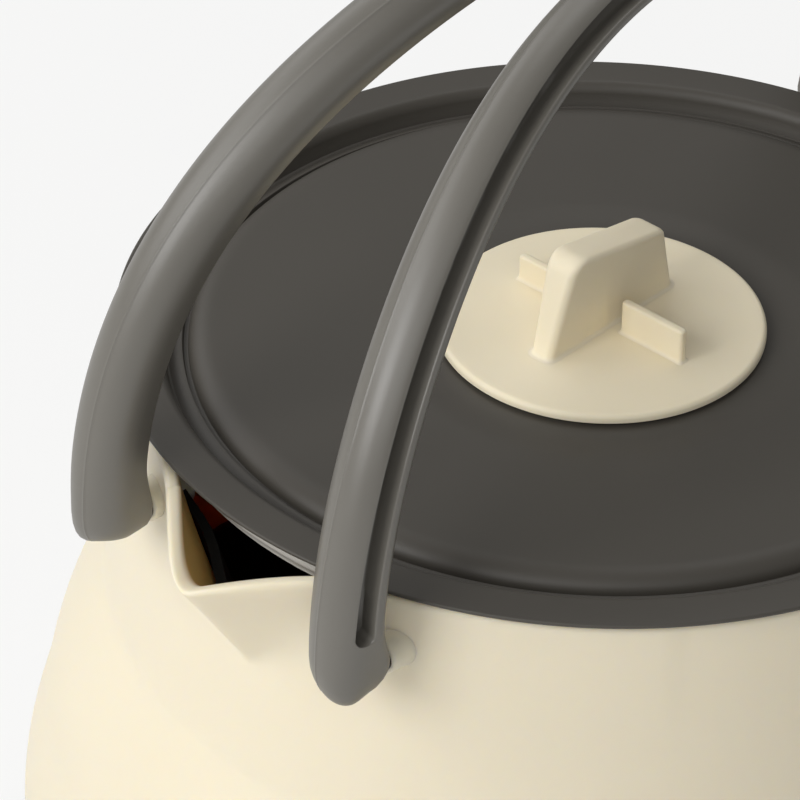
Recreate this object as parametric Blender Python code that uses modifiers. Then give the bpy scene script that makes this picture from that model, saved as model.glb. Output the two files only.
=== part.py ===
"""Collapsible camping kettle: silicone body on a metal pan, flat lid, two folding bails.

Run with: blender --background --python part.py
Metres, +Z up. The origin is under the middle of the pan. The spout points along -Y.
"""
import math

import bmesh
import bpy
from mathutils import Matrix, Vector

MM = 0.001
CLEARANCE = 0.3 * MM

# Heights of the body's rings
LOWER_WALL_FOOT = 10.5 * MM
BULGE_HEIGHT = 18.0 * MM
LOWER_WALL_TOP = 35.2 * MM
NECK_FOOT = 59.1 * MM
RIM_HEIGHT = 96.5 * MM

# Outer radii of the body at those rings, and its walls
BODY_RADIUS = 78.8 * MM
SHOULDER_DRAW = 3.3 * MM
NECK_FOOT_RADIUS = 66.7 * MM
RIM_RADIUS = 63.6 * MM
SHOULDER_BULGE = 1.4 * MM
WALL = 1.8 * MM
FOLD_WALL = 1.6 * MM
LIP_ROUND = 0.5 * MM

# Pan and its band
PAN_HEIGHT = 21.0 * MM
PAN_WALL = 1.2 * MM
PAN_FLOOR = 2.0 * MM
PAN_CORNER = 7.0 * MM
PAN_RECESS = 0.8 * MM
FOOT_RING_WIDTH = 14.0 * MM
BAND_HEIGHT = 3.6 * MM
BAND_ROUND = 0.8 * MM

# Spout
SPOUT_FOOT = 76.5 * MM
SPOUT_TIP_RADIUS = 79.3 * MM
SPOUT_HALF_WIDTH = 21.1 * MM
SPOUT_DIP = 3.2 * MM
SPOUT_EDGE_ROUND = 0.026
SPOUT_BLEND = 1.4 * MM
SPOUT_SPREAD = math.radians(26.0)

# Rim ring and the pivots that it carries
RING_WALL = 1.2 * MM
RING_DEPTH = 17.5 * MM
RING_DROP = 6.2 * MM
PIVOT_X = 21.8 * MM
PIVOT_DROP = 7.6 * MM
BOSS_RADIUS = 3.8 * MM
LUG_RADIUS = 2.0 * MM
PIN_RADIUS = 1.0 * MM
PIN_ROOT = 1.6 * MM
PIN_BITE = 3.0 * MM
PIN_CHAMFER = 0.3 * MM

# Bails
BAIL_ARC_DROP = 3.9 * MM
BAIL_ARC_MIDDLE = 2.0 * MM
BAIL_REACH = 72.2 * MM
BAIL_RISE = 67.3 * MM
BAIL_DEPTH = 7.4 * MM
BAIL_DEPTH_LOSS = 1.0 * MM
BAIL_WIDTH = 9.4 * MM
BAIL_WIDTH_LOSS = 0.4 * MM
BAIL_TWIST = math.radians(12.0)
BAIL_LEAN = 3.8 * MM
BAIL_LEAN_HEIGHT = 50.0 * MM
BAIL_LEAN_DROP = 12.3 * MM
BAIL_CORNER = 0.7 * MM
BAIL_NOSE_SHARE = 0.67
GROOVE_WIDTH = 2.5 * MM
GROOVE_DEPTH = 3.2 * MM
GROOVE_OFFSET = 0.7 * MM
GROOVE_START = 10.2 * MM
FOOT_DROP = 2.4 * MM
FOOT_SLANT = 1.0 * MM
FOOT_RISE = 2.3 * MM
FOOT_CURL = 1.0 * MM
FOOT_ROUND = 4.0 * MM
FOOT_REACH = 9.0 * MM
BAIL_STATIONS = 30

# Lid
LID_RADIUS = 65.0 * MM
LID_WALL = 1.6 * MM
FLANGE_THICKNESS = 1.2 * MM
CREST_RADIUS = 59.2 * MM
DISC_RADIUS = 53.2 * MM
DISC_DROP = 0.7 * MM
GROOVE_DROP = 1.1 * MM
BEAD_RADIUS = 57.4 * MM
BEAD_DROP = 0.55 * MM
DISH_RADIUS = 27.0 * MM
DISH_DEPTH = 0.3 * MM
SKIRT_DEPTH = 6.6 * MM
SKIRT_WALL = 2.0 * MM
SKIRT_FILLET = 1.1 * MM
SKIRT_LIP = 0.7 * MM
SKIRT_LIP_HEIGHT = 1.0 * MM
SEAL_WALL = 2.4 * MM
SEAL_LIP = 1.0 * MM

# Insert in the middle of the lid, and its knob
INSERT_RADIUS = 22.1 * MM
INSERT_THICKNESS = 1.2 * MM
INSERT_ROUND = 0.5 * MM
STEM_RADIUS = 15.0 * MM
BUTTON_RADIUS = 19.0 * MM
BUTTON_THICKNESS = 1.4 * MM
KNOB_TURN = math.radians(2.4)
FIN_FRONT = 12.5 * MM
FIN_BACK = 12.9 * MM
FIN_FRONT_TOP = 8.6 * MM
FIN_BACK_TOP = 9.7 * MM
FIN_FRONT_HEIGHT = 14.3 * MM
FIN_BACK_HEIGHT = 10.5 * MM
FIN_FOOT_THICKNESS = 3.5 * MM
FIN_TOP_THICKNESS = 5.2 * MM
FIN_NOSE_ROUND = 2.6 * MM
FIN_ROUND = 0.8 * MM
TAB_START = 3.8 * MM
TAB_END = 14.3 * MM
TAB_HEIGHT = 5.3 * MM
TAB_THICKNESS = 1.3 * MM
TAB_ROUND = 0.3 * MM

# Facets round each turned piece
BODY_SEGMENTS = 52
PAN_SEGMENTS = 44
LID_SEGMENTS = 54
SEAL_SEGMENTS = 44
INSERT_SEGMENTS = 44
BOSS_SEGMENTS = 20
PIN_SEGMENTS = 16

# Places that follow from the sizes above
PAN_RADIUS = BODY_RADIUS - WALL - CLEARANCE
MOUTH_RADIUS = RIM_RADIUS - WALL
RING_INNER_RADIUS = MOUTH_RADIUS - CLEARANCE - RING_WALL
LID_UNDERSIDE = RIM_HEIGHT + CLEARANCE
LID_TOP = LID_UNDERSIDE + FLANGE_THICKNESS
DISC_TOP = LID_TOP - DISC_DROP
DISH_TOP = DISC_TOP - DISH_DEPTH
DISC_UNDERSIDE = DISH_TOP - LID_WALL
SKIRT_RADIUS = MOUTH_RADIUS - CLEARANCE - SEAL_WALL - CLEARANCE
INSERT_TOP = DISH_TOP + CLEARANCE + INSERT_THICKNESS
SHOULDER_RADIUS = BODY_RADIUS - SHOULDER_DRAW
RING_FOOT = RIM_HEIGHT - RING_DEPTH
PIVOT_Z = RIM_HEIGHT - PIVOT_DROP
BAIL_ARC_Z = RIM_HEIGHT - BAIL_ARC_DROP
BAIL_LEAN_Z = RIM_HEIGHT - BAIL_LEAN_DROP


def reset_scene():
    """Remove what the start-up file holds and make the two collections."""
    for old in list(bpy.data.objects):
        bpy.data.objects.remove(old, do_unlink=True)
    collections = []
    for name in ("collapsible_kettle", "cutters"):
        collection = bpy.data.collections.new(name)
        bpy.context.scene.collection.children.link(collection)
        collections.append(collection)
    return collections


PARTS, CUTTERS = reset_scene()


def finish(name, colour, roughness, metallic=0.0):
    """A Principled material with one colour."""
    material = bpy.data.materials.new(name)
    material.use_nodes = True
    shader = material.node_tree.nodes["Principled BSDF"]
    shader.inputs["Base Color"].default_value = (*colour, 1.0)
    shader.inputs["Roughness"].default_value = roughness
    shader.inputs["Metallic"].default_value = metallic
    return material


def add_object(name, mesh, material, origin=(0.0, 0.0, 0.0), parent=None):
    """Link a mesh that is written in world places, with its origin moved to a point."""
    mesh.transform(Matrix.Translation(-Vector(origin)))
    part = bpy.data.objects.new(name, mesh)
    PARTS.objects.link(part)
    mesh.materials.append(material)
    place(part, origin, parent)
    return part


def world_place(thing):
    """World place of an object whose parents are not turned."""
    total = Vector()
    while thing:
        total += thing.location
        thing = thing.parent
    return total


def place(thing, origin, parent=None):
    """Put an object at a world point, under an empty that is not turned."""
    thing.location = Vector(origin) - world_place(parent)
    thing.parent = parent


def joint_empty(name, origin, parent=None):
    """An empty on a joint's axis, which the moving pieces hang from."""
    empty = bpy.data.objects.new(name, None)
    empty.empty_display_size = 20.0 * MM
    PARTS.objects.link(empty)
    place(empty, origin, parent)
    return empty


def smooth(mesh, degrees=40.0):
    """Shade round faces smooth and keep the edges sharp."""
    mesh.shade_smooth()
    mesh.set_sharp_from_angle(angle=math.radians(degrees))


def arc(centre_r, centre_z, radius, start, end, steps):
    """Points (r, z) of an arc in a profile, angles in degrees from +r towards +z."""
    points = []
    for step in range(steps + 1):
        angle = math.radians(start + (end - start) * step / steps)
        points.append((centre_r + radius * math.cos(angle), centre_z + radius * math.sin(angle)))
    return points


def turned(name, profile, segments, material, closed=True, origin_z=0.0, parent=None):
    """Turn a profile (r, z) that runs down its outer side once round Z."""
    mesh = bpy.data.meshes.new(name)
    edges = [(i, i + 1) for i in range(len(profile) - 1)]
    if closed:
        edges.append((len(profile) - 1, 0))
    mesh.from_pydata([(r, 0.0, z) for r, z in profile], edges, [])
    part = add_object(name, mesh, material, (0.0, 0.0, origin_z), parent)
    screw = part.modifiers.new("turn", "SCREW")
    screw.angle = math.tau
    screw.steps = segments
    screw.render_steps = segments
    screw.use_merge_vertices = True
    screw.merge_threshold = 0.01 * MM
    screw.use_smooth_shade = True
    return part


def loft(rings, close_rings):
    """A mesh through rings of points, closed ring to ring or with a face at each end."""
    shape = bmesh.new()
    rows = [[shape.verts.new(point) for point in ring] for ring in rings]
    count = len(rows)
    last = count if close_rings else count - 1
    for i in range(last):
        lower, upper = rows[i], rows[(i + 1) % count]
        for j in range(len(lower)):
            k = (j + 1) % len(lower)
            shape.faces.new((lower[j], lower[k], upper[k], upper[j]))
    if not close_rings:
        shape.faces.new(rows[0])
        shape.faces.new(rows[-1])
    bmesh.ops.recalc_face_normals(shape, faces=shape.faces)
    mesh = bpy.data.meshes.new("loft")
    shape.to_mesh(mesh)
    shape.free()
    return mesh


def mesh_from(shape, name):
    """Turn an edit mesh into a mesh, with its faces pointing out."""
    bmesh.ops.recalc_face_normals(shape, faces=shape.faces)
    mesh = bpy.data.meshes.new(name)
    shape.to_mesh(mesh)
    shape.free()
    return mesh


def rod_along_y(x, z, y_start, y_end, radius, segments=PIN_SEGMENTS):
    """A cylinder along Y between two places, as an edit mesh."""
    shape = bmesh.new()
    turn = Matrix.Rotation(math.pi / 2.0, 4, "X")
    middle = Matrix.Translation((x, (y_start + y_end) / 2.0, z))
    bmesh.ops.create_cone(shape, cap_ends=True, segments=segments, radius1=radius, radius2=radius,
                          depth=abs(y_end - y_start), matrix=middle @ turn)
    return shape


def stub_along_y(x, z, front, root_radius, y_end, radius, segments):
    """A cylinder along Y whose inner end follows a round wall, where it is rooted."""
    shape = rod_along_y(x, z, 0.0, front * y_end, radius, segments)
    for vertex in shape.verts:
        if abs(vertex.co.y) < y_end / 2.0:
            vertex.co.y = front * math.sqrt(root_radius(vertex.co.z) ** 2 - vertex.co.x ** 2)
    bmesh.ops.triangulate(shape, faces=[face for face in shape.faces if len(face.verts) > 4])
    return shape


def boolean(part, name, mesh, operation):
    """Cut or join with another solid, exactly. The solid is a cutter that goes with the part."""
    solid = bpy.data.objects.new(name, mesh)
    CUTTERS.objects.link(solid)
    solid.hide_render = True
    solid.display_type = "WIRE"
    place(solid, (0.0, 0.0, 0.0), part)
    step = part.modifiers.new(name, "BOOLEAN")
    step.operation = operation
    step.solver = "EXACT"
    step.object = solid


# The body's profile

def neck_outer(z):
    """Outer radius of the neck's cone."""
    share = (z - NECK_FOOT) / (RIM_HEIGHT - NECK_FOOT)
    return NECK_FOOT_RADIUS + (RIM_RADIUS - NECK_FOOT_RADIUS) * share


def shoulder_outer(z):
    """Outer radius of the wall that folds."""
    share = (z - LOWER_WALL_TOP) / (NECK_FOOT - LOWER_WALL_TOP)
    straight = SHOULDER_RADIUS + (NECK_FOOT_RADIUS - SHOULDER_RADIUS) * share
    return straight + SHOULDER_BULGE * 4.0 * share * (1.0 - share)


def lower_outer(z):
    """Outer radius of the wall over the pan."""
    if z <= BULGE_HEIGHT:
        return BODY_RADIUS
    share = (z - BULGE_HEIGHT) / (LOWER_WALL_TOP - BULGE_HEIGHT)
    return SHOULDER_RADIUS + (BODY_RADIUS - SHOULDER_RADIUS) * math.cos(share * math.pi / 2.0)


def wall_profile(outer, z_top, z_bottom, wall, steps, inner_limit=0.0):
    """A wall of even thickness that follows a radius, down its outer side and up inside."""
    heights = [z_top + (z_bottom - z_top) * i / steps for i in range(steps + 1)]
    outside = [(outer(z), z) for z in heights]
    inside = [(max(outer(z) - wall, inner_limit if z < PAN_HEIGHT + CLEARANCE else 0.0), z)
              for z in reversed(heights)]
    return outside + inside


def make_base_pan(metal):
    """Drawn pan: a flat foot ring, a shallow recess under it and an upright wall."""
    floor_inner = PAN_RADIUS - PAN_WALL
    inner_corner = PAN_CORNER - PAN_WALL
    ring_inner = PAN_RADIUS - PAN_CORNER - FOOT_RING_WIDTH
    profile = [(0.0, PAN_FLOOR)]
    profile += arc(floor_inner - inner_corner, PAN_FLOOR + inner_corner, inner_corner, -90, 0, 3)
    profile += [(floor_inner, PAN_HEIGHT), (PAN_RADIUS, PAN_HEIGHT)]
    profile += arc(PAN_RADIUS - PAN_CORNER, PAN_CORNER, PAN_CORNER, 0, -90, 4)
    profile += [(ring_inner, 0.0), (ring_inner - PAN_RECESS, PAN_RECESS), (0.0, PAN_RECESS)]
    return turned("base_pan", profile, PAN_SEGMENTS, metal, closed=False)


def make_base_band(steel):
    """Band round the pan, on which the silicone wall's foot stands."""
    inner = PAN_RADIUS + CLEARANCE
    outer = BODY_RADIUS - CLEARANCE
    top = LOWER_WALL_FOOT - CLEARANCE
    bottom = top - BAND_HEIGHT
    profile = [(inner, top), (outer, top)]
    profile += arc(outer - BAND_ROUND, bottom + BAND_ROUND, BAND_ROUND, 0, -90, 2)
    profile += [(inner, bottom)]
    return turned("base_band", profile, PAN_SEGMENTS, steel)


def make_lower_wall(silicone):
    """Lower wall: over the pan, bulging, and drawn in to the lower fold."""
    profile = wall_profile(lower_outer, LOWER_WALL_TOP, LOWER_WALL_FOOT, WALL, 7,
                           PAN_RADIUS + CLEARANCE)
    return turned("lower_wall", profile, BODY_SEGMENTS, silicone)


def make_shoulder_wall(silicone):
    """The wall between the two folds, which turns over when the kettle collapses."""
    profile = wall_profile(shoulder_outer, NECK_FOOT, LOWER_WALL_TOP + CLEARANCE, FOLD_WALL, 5)
    return turned("shoulder_wall", profile, BODY_SEGMENTS, silicone)


def spout_reach(angle, z, inset):
    """Radius of the spout's two straight walls at an angle from -Y, moved in by a wall."""
    share = (z - SPOUT_FOOT) / (RIM_HEIGHT - SPOUT_FOOT)
    if share <= 0.0 or abs(angle) > SPOUT_SPREAD * 2.0:
        return 0.0
    half_width = SPOUT_HALF_WIDTH * share
    neck = neck_outer(z)
    root = math.sqrt(neck ** 2 - half_width ** 2)
    tip = neck_outer(SPOUT_FOOT) + (SPOUT_TIP_RADIUS - neck_outer(SPOUT_FOOT)) * share
    side = math.sqrt(math.sin(angle) ** 2 + (SPOUT_EDGE_ROUND * share) ** 2)
    length = math.hypot(tip - root, half_width)
    slope = (tip - root) * side + half_width * math.cos(angle)
    return (half_width * tip - inset * length) / slope


def neck_radius(angle, z, inset):
    """Radius of the neck's wall with the spout blended in."""
    round_wall = neck_outer(z) - inset
    spout = spout_reach(angle, z, inset * 1.1)
    if spout <= 0.0:
        return round_wall
    blend = SPOUT_BLEND * min(1.0, 3.0 * (z - SPOUT_FOOT) / (RIM_HEIGHT - SPOUT_FOOT))
    return (round_wall + spout + math.hypot(round_wall - spout, blend)) / 2.0


def rim_top(angle):
    """Height of the rim, which dips towards the spout's tip."""
    reach = neck_radius(0.0, RIM_HEIGHT, 0.0) - RIM_RADIUS
    out = neck_radius(angle, RIM_HEIGHT, 0.0) - RIM_RADIUS
    return RIM_HEIGHT - SPOUT_DIP * min(1.0, max(0.0, out / reach))


def neck_angles():
    """Angles from -Y round the neck, close together at the spout."""
    fine = 24
    coarse = 46
    angles = [-SPOUT_SPREAD + 2.0 * SPOUT_SPREAD * i / fine for i in range(fine)]
    rest = math.tau - 2.0 * SPOUT_SPREAD
    return angles + [SPOUT_SPREAD + rest * i / coarse for i in range(coarse)]


def make_neck_wall(silicone, parent):
    """Neck with the V spout, lofted as rings up the outside, over the lip and down inside."""
    bottom = NECK_FOOT + CLEARANCE
    spout_share = (SPOUT_FOOT - bottom) / (RIM_HEIGHT - bottom)
    upper = [spout_share + (1.0 - spout_share) * i / 6.0 for i in range(6)]
    outer_rows = [(share, 0.0) for share in [0.0, spout_share / 2.0] + upper]
    inner_rows = [(share, WALL) for share in reversed([0.0, spout_share] + upper[2::2])]
    rings = []
    angles = neck_angles()

    def point(angle, radius, z):
        return (radius * math.sin(angle), -radius * math.cos(angle), z)

    def row(share, inset, drop, inward):
        ring = []
        for angle in angles:
            top = rim_top(angle)
            z = min(bottom + (top - bottom) * share, top - drop)
            ring.append(point(angle, neck_radius(angle, z, inset) + inward, z))
        return ring

    for share, inset in outer_rows:
        rings.append(row(share, inset, LIP_ROUND * 2.0, 0.0))
    rings.append(row(1.0, 0.0, LIP_ROUND, 0.0))
    rings.append(row(1.0, 0.0, 0.0, -LIP_ROUND))
    rings.append(row(1.0, WALL, 0.0, LIP_ROUND))
    rings.append(row(1.0, WALL, LIP_ROUND, 0.0))
    for share, inset in inner_rows:
        rings.append(row(share, inset, LIP_ROUND * 2.0, 0.0))
    mesh = loft(rings, close_rings=True)
    smooth(mesh)
    neck = add_object("neck_wall", mesh, silicone, (0.0, 0.0, NECK_FOOT), parent)
    for label, x, front in pivot_places():
        end = foot_inner_y(front) - CLEARANCE
        boss = stub_along_y(x, PIVOT_Z, front, lambda z: neck_outer(z) - WALL * 0.6, end,
                            BOSS_RADIUS, BOSS_SEGMENTS)
        boolean(neck, "boss_" + label, mesh_from(boss, "boss"), "UNION")
    for label, x, front in pivot_places():
        hole = rod_along_y(x, PIVOT_Z, front * ring_wall_y(RING_INNER_RADIUS - 5.0 * MM),
                           front * BODY_RADIUS, LUG_RADIUS + CLEARANCE)
        boolean(neck, "lug_hole_" + label, mesh_from(hole, "lug_hole"), "DIFFERENCE")
    return neck


def pivot_places():
    """Name, x and front or back sign of the four pivots."""
    return [("right_front", PIVOT_X, -1.0), ("right_back", PIVOT_X, 1.0),
            ("left_front", -PIVOT_X, -1.0), ("left_back", -PIVOT_X, 1.0)]


def ring_wall_y(radius):
    """How far out in Y a round wall lies at the pivots."""
    return math.sqrt(radius ** 2 - PIVOT_X ** 2)


def bail_angle(z):
    """Angle round the bail's arch at a height near its feet."""
    return math.asin((z - BAIL_ARC_Z) / BAIL_RISE)


def foot_inner_y(front):
    """Smallest Y distance of a bail's inner side over a boss, at the front or the back."""
    middle = BAIL_REACH * math.cos(bail_angle(PIVOT_Z - BOSS_RADIUS)) + front * BAIL_ARC_MIDDLE
    slant = BOSS_RADIUS * math.sin(BAIL_TWIST)
    return middle - (BAIL_DEPTH / 2.0 + slant) / math.cos(BAIL_TWIST)


def make_rim_ring(plastic, parent):
    """Stiff ring inside the neck, which lines the spout, with a lug out to each bail's foot."""
    angles = neck_angles()
    outer = WALL + CLEARANCE
    inner = outer + RING_WALL
    rings = []
    for share, inset in ((0.0, outer), (0.4, outer), (0.75, outer), (1.0, outer),
                         (1.0, inner), (0.75, inner), (0.4, inner), (0.0, inner)):
        ring = []
        for angle in angles:
            z = RING_FOOT + (rim_top(angle) - RING_DROP - RING_FOOT) * share
            radius = neck_radius(angle, z, inset)
            ring.append((radius * math.sin(angle), -radius * math.cos(angle), z))
        rings.append(ring)
    mesh = loft(rings, close_rings=True)
    smooth(mesh)
    ring = add_object("rim_ring", mesh, plastic, (0.0, 0.0, NECK_FOOT), parent)
    root = ring_wall_y(MOUTH_RADIUS) + PIN_ROOT
    for label, x, front in pivot_places():
        end = foot_inner_y(front) - CLEARANCE
        lug = stub_along_y(x, PIVOT_Z, front, lambda z: neck_outer(z) - outer - RING_WALL / 2.0,
                           end, LUG_RADIUS, PIN_SEGMENTS)
        boolean(ring, "lug_" + label, mesh_from(lug, "lug"), "UNION")
    for label, x, front in pivot_places():
        hole = rod_along_y(x, PIVOT_Z, front * (root - CLEARANCE), front * BODY_RADIUS,
                           PIN_RADIUS + CLEARANCE)
        boolean(ring, "pin_hole_" + label, mesh_from(hole, "pin_hole"), "DIFFERENCE")
    return ring


def make_pins(steel, parent):
    """Four dowels, each from a blind hole in a lug into a bail's foot."""
    start = ring_wall_y(MOUTH_RADIUS) + PIN_ROOT
    for label, x, front in pivot_places():
        end = foot_inner_y(front) + PIN_BITE
        mesh = mesh_from(rod_along_y(x, PIVOT_Z, front * start, front * end, PIN_RADIUS), "pin")
        smooth(mesh)
        pin = add_object("pin_" + label, mesh, steel, (x, front * start, PIVOT_Z), parent)
        edge = pin.modifiers.new("chamfer", "BEVEL")
        edge.width = PIN_CHAMFER
        edge.segments = 1
        edge.limit_method = "ANGLE"
        edge.angle_limit = math.radians(50.0)


# Bails

def bail_section(width, thick, depth):
    """Section (u, v): u towards the outer face, v out from the arch, with its groove."""
    half = width / 2.0
    edge = thick / 2.0
    nose = thick * BAIL_NOSE_SHARE

    def half_width(v):
        share = max(0.0, (v - edge + nose) / nose)
        return half * math.sqrt(max(0.0, 1.0 - share ** 2))

    corner = [(half - BAIL_CORNER, -edge), (half - BAIL_CORNER * 0.3, -edge + BAIL_CORNER * 0.3),
              (half, -edge + BAIL_CORNER)]
    low = -GROOVE_OFFSET - GROOVE_WIDTH / 2.0
    high = GROOVE_WIDTH / 2.0 - GROOVE_OFFSET
    draft = GROOVE_WIDTH * 0.1
    floor = half - GROOVE_DEPTH * depth
    groove = [(half_width(low), low), (min(floor, half_width(low)), low + draft),
              (min(floor, half_width(high - draft)), high - draft), (half_width(high), high)]
    tips = [edge - nose * share for share in (0.3, 0.1, 0.02)]
    right = corner + groove + [(half_width(v), v) for v in tips]
    left = [(-half_width(v), v) for v in reversed([-edge / 3.0] + tips)]
    left += [(-u, v) for u, v in reversed(corner)]
    return right + [(0.0, edge)] + left


def bail_frame(angle):
    """Middle of the bail at an angle round its arch, with its normal, radial and tangent."""
    z = BAIL_ARC_Z + BAIL_RISE * math.sin(angle)
    lean = max(0.0, z - BAIL_LEAN_Z) / BAIL_LEAN_HEIGHT
    slope = 3.0 * BAIL_LEAN * lean ** 2 / BAIL_LEAN_HEIGHT
    climb = BAIL_RISE * math.cos(angle)
    tangent = Vector((-slope * climb, BAIL_REACH * math.sin(angle), climb)).normalized()
    radial = Vector((1.0, 0.0, slope)).cross(tangent).normalized()
    normal = tangent.cross(radial)
    twist = BAIL_TWIST * (1.0 - math.sin(angle))
    face = normal * math.cos(twist) + radial * math.sin(twist)
    outward = radial * math.cos(twist) - normal * math.sin(twist)
    middle = Vector((PIVOT_X - BAIL_LEAN * lean ** 3,
                     BAIL_ARC_MIDDLE - BAIL_REACH * math.cos(angle), z))
    return middle, face, outward, tangent


def bail_stations():
    """Angle, scale of the section and depth of the groove along a bail, foot to foot."""
    first = bail_angle(PIVOT_Z - FOOT_DROP)
    stations = []
    for reach in (0.08, 0.25, 0.5, 1.0):
        scale = math.sqrt(1.0 - (1.0 - reach) ** 2)
        stations.append((first + reach * FOOT_ROUND / BAIL_RISE, scale, 0.0))
    groove = first + GROOVE_START / BAIL_RISE
    begin = groove + GROOVE_WIDTH / 2.0 / BAIL_RISE
    stations.append((groove, 1.0, 0.0))
    stations.append((begin, 1.0, 1.0))
    step = (math.pi - 2.0 * begin) / BAIL_STATIONS
    middle = [(begin + step * i, 1.0, 1.0) for i in range(1, BAIL_STATIONS)]
    ends = [(math.pi - angle, scale, depth) for angle, scale, depth in reversed(stations)]
    return stations + middle + ends


def foot_recess(u, v, along):
    """How far the foot's round end draws back at a place in the section."""
    slant = FOOT_SLANT * (-u / (BAIL_WIDTH / 2.0))
    rise = FOOT_RISE * v / (BAIL_DEPTH / 2.0)
    curl = FOOT_CURL * (v / BAIL_DEPTH + 0.5) ** 3
    return (slant + rise - curl) * max(0.0, 1.0 - along / FOOT_REACH)


def make_bail(plastic, name, parent, side):
    """A bail: one grooved section carried round a bowed arc, from foot to foot."""
    stations = bail_stations()
    first = bail_angle(PIVOT_Z - FOOT_DROP)
    rings = []
    for angle, scale, depth in stations:
        middle, face, outward, tangent = bail_frame(angle)
        along = (min(angle, math.pi - angle) - first) * BAIL_RISE
        back = 1.0 if angle < math.pi / 2.0 else -1.0
        width = BAIL_WIDTH - BAIL_WIDTH_LOSS * math.sin(angle)
        thick = BAIL_DEPTH - BAIL_DEPTH_LOSS * math.sin(angle)
        ring = []
        for u, v in bail_section(width * scale, thick * scale, depth):
            spot = middle + face * u + outward * v
            spot += tangent * back * foot_recess(u, v, along)
            ring.append((spot.x * side, spot.y, spot.z))
        rings.append(ring)
    mesh = loft(rings, close_rings=False)
    smooth(mesh, 50.0)
    bail = add_object(name, mesh, plastic, (side * PIVOT_X, 0.0, PIVOT_Z), parent)
    for label, front in (("_socket_front", -1.0), ("_socket_back", 1.0)):
        socket = rod_along_y(side * PIVOT_X, PIVOT_Z, front * MOUTH_RADIUS,
                             front * (foot_inner_y(front) + PIN_BITE + CLEARANCE),
                             PIN_RADIUS + CLEARANCE)
        boolean(bail, name + label, mesh_from(socket, "socket"), "DIFFERENCE")
    return bail


# Lid

def make_lid_shell(plastic, parent):
    """Lid: flange, crest, two fine grooves with a bead between, disc with a dish, and skirt."""
    groove_floor = LID_TOP - GROOVE_DROP
    slope = BEAD_RADIUS - DISC_RADIUS
    seat = STEM_RADIUS + CLEARANCE
    skirt_foot = LID_UNDERSIDE - SKIRT_DEPTH
    profile = [
        (seat, DISH_TOP),
        (DISH_RADIUS - DISH_DEPTH * 4.0, DISH_TOP),
        (DISH_RADIUS, DISC_TOP),
        (DISC_RADIUS, DISC_TOP),
        (DISC_RADIUS + slope * 0.4, DISC_TOP - 0.15 * MM),
        (DISC_RADIUS + slope * 0.8, groove_floor),
        (BEAD_RADIUS - 0.35 * MM, LID_TOP - BEAD_DROP),
        (BEAD_RADIUS + 0.35 * MM, LID_TOP - BEAD_DROP),
        (CREST_RADIUS - 0.95 * MM, groove_floor),
        (CREST_RADIUS - 0.3 * MM, LID_TOP - 0.2 * MM),
        (CREST_RADIUS, LID_TOP),
        (LID_RADIUS - 0.4 * MM, LID_TOP - 0.2 * MM),
        (LID_RADIUS, LID_TOP - 0.6 * MM),
        (LID_RADIUS, LID_UNDERSIDE),
        (SKIRT_RADIUS + SKIRT_FILLET, LID_UNDERSIDE),
        (SKIRT_RADIUS, LID_UNDERSIDE - SKIRT_FILLET),
        (SKIRT_RADIUS, skirt_foot + SKIRT_LIP_HEIGHT),
        (SKIRT_RADIUS + SKIRT_LIP, skirt_foot + SKIRT_LIP_HEIGHT),
        (SKIRT_RADIUS + SKIRT_LIP, skirt_foot),
        (SKIRT_RADIUS - SKIRT_WALL, skirt_foot),
        (SKIRT_RADIUS - SKIRT_WALL, DISC_UNDERSIDE),
        (seat, DISC_UNDERSIDE),
    ]
    return turned("lid_shell", profile, LID_SEGMENTS, plastic, True, LID_TOP, parent)


def make_lid_seal(silicone, parent):
    """Soft ring between the skirt's lip and fillet, with a rib that wipes the mouth."""
    inner = SKIRT_RADIUS + CLEARANCE
    outer = MOUTH_RADIUS - CLEARANCE
    top = LID_UNDERSIDE - SKIRT_FILLET - CLEARANCE
    bottom = LID_UNDERSIDE - SKIRT_DEPTH + SKIRT_LIP_HEIGHT + CLEARANCE
    middle = (top + bottom) / 2.0
    profile = [(outer - SEAL_LIP, top), (outer - SEAL_LIP, middle + SEAL_LIP * 1.6),
               (outer, middle + SEAL_LIP * 0.6), (outer, middle - SEAL_LIP * 0.6),
               (outer - SEAL_LIP, middle - SEAL_LIP * 1.6), (outer - SEAL_LIP, bottom),
               (inner, bottom), (inner, top)]
    return turned("lid_seal", profile, SEAL_SEGMENTS, silicone, True, LID_TOP, parent)


def tapered_block(corners_at):
    """A cube whose eight corners are moved by a rule on their signs."""
    shape = bmesh.new()
    bmesh.ops.create_cube(shape, size=2.0)
    for vertex in shape.verts:
        vertex.co = Vector(corners_at(*(1.0 if value > 0.0 else -1.0 for value in vertex.co)))
    return shape


def make_fin():
    """The knob: a fin that widens upwards, higher at the spout end, with a round nose."""
    root = INSERT_TOP - INSERT_THICKNESS / 2.0

    def corner(side, end, level):
        thickness = FIN_TOP_THICKNESS if level > 0.0 else FIN_FOOT_THICKNESS
        height = FIN_BACK_HEIGHT if end > 0.0 else FIN_FRONT_HEIGHT
        top_y = FIN_BACK_TOP if end > 0.0 else -FIN_FRONT_TOP
        foot_y = FIN_BACK if end > 0.0 else -FIN_FRONT
        y = top_y if level > 0.0 else foot_y
        return side * thickness / 2.0, y, INSERT_TOP + height if level > 0.0 else root

    shape = tapered_block(corner)
    nose = [edge for edge in shape.edges
            if all(v.co.y < 0.0 and v.co.z > INSERT_TOP for v in edge.verts)]
    bmesh.ops.bevel(shape, geom=nose, offset=FIN_NOSE_ROUND, segments=3, profile=0.5, affect="EDGES")
    rim = [edge for edge in shape.edges if max(v.co.z for v in edge.verts) > INSERT_TOP
           and len(edge.link_faces) == 2 and edge.calc_face_angle() > math.radians(50.0)]
    bmesh.ops.bevel(shape, geom=rim, offset=FIN_ROUND, segments=2, profile=0.5, affect="EDGES")
    return shape


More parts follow.
